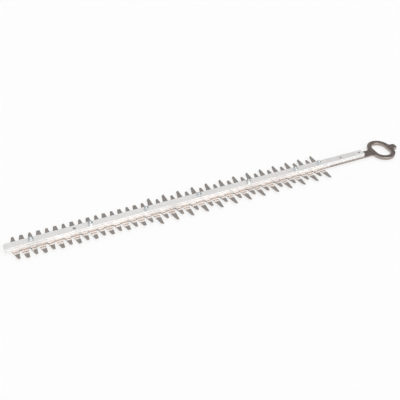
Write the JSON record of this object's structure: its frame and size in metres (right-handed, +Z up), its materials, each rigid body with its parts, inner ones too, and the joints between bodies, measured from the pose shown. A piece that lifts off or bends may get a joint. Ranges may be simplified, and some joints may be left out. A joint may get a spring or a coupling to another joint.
{
  "type": "hedge trimmer blade",
  "caption": "Double-sided hedge trimmer cutter: two toothed steel blades sliding under an aluminium guide bar, held by bolts, each ending in an oval drive eye.",
  "frame": {"origin": "centre of the set's outline on the surface that its bolt heads rest on", "axes": "+X from the tip to the drive eye, +Y across the blades, +Z up, from the blades to the guide bar"},
  "size_m": [0.9638, 0.0912, 0.0253],
  "materials": {
    "drawn_aluminium": "satin, drawn",
    "blade_steel": "ground, half bright",
    "forged_steel": "forged and ground",
    "zinc_plate": "bright zinc plate",
    "bush_steel": "turned"
  },
  "bodies": {
    "bar": {"guide_bar": "drawn_aluminium", "blade_bolts": "zinc_plate", "bolt_washers": "zinc_plate", "lock_nuts": "zinc_plate", "spacer_bush_1": "bush_steel", "spacer_bush_2": "bush_steel", "spacer_bush_3": "bush_steel", "spacer_bush_4": "bush_steel", "spacer_bush_5": "bush_steel", "spacer_bush_6": "bush_steel", "spacer_bush_7": "bush_steel"},
    "upper_cutter": {"upper_blade": "blade_steel", "upper_drive_eye": "forged_steel"},
    "lower_cutter": {"lower_blade": "blade_steel", "lower_drive_eye": "forged_steel"}
  },
  "joints": [
    {"name": "upper_stroke", "type": "slide", "parent": "bar", "child": "upper_cutter", "axis": [1, 0, 0], "range_m": [-0.00875, 0.00875]},
    {"name": "lower_stroke", "type": "slide", "parent": "bar", "child": "lower_cutter", "axis": [1, 0, 0], "range_m": [-0.00875, 0.00875]}
  ]
}
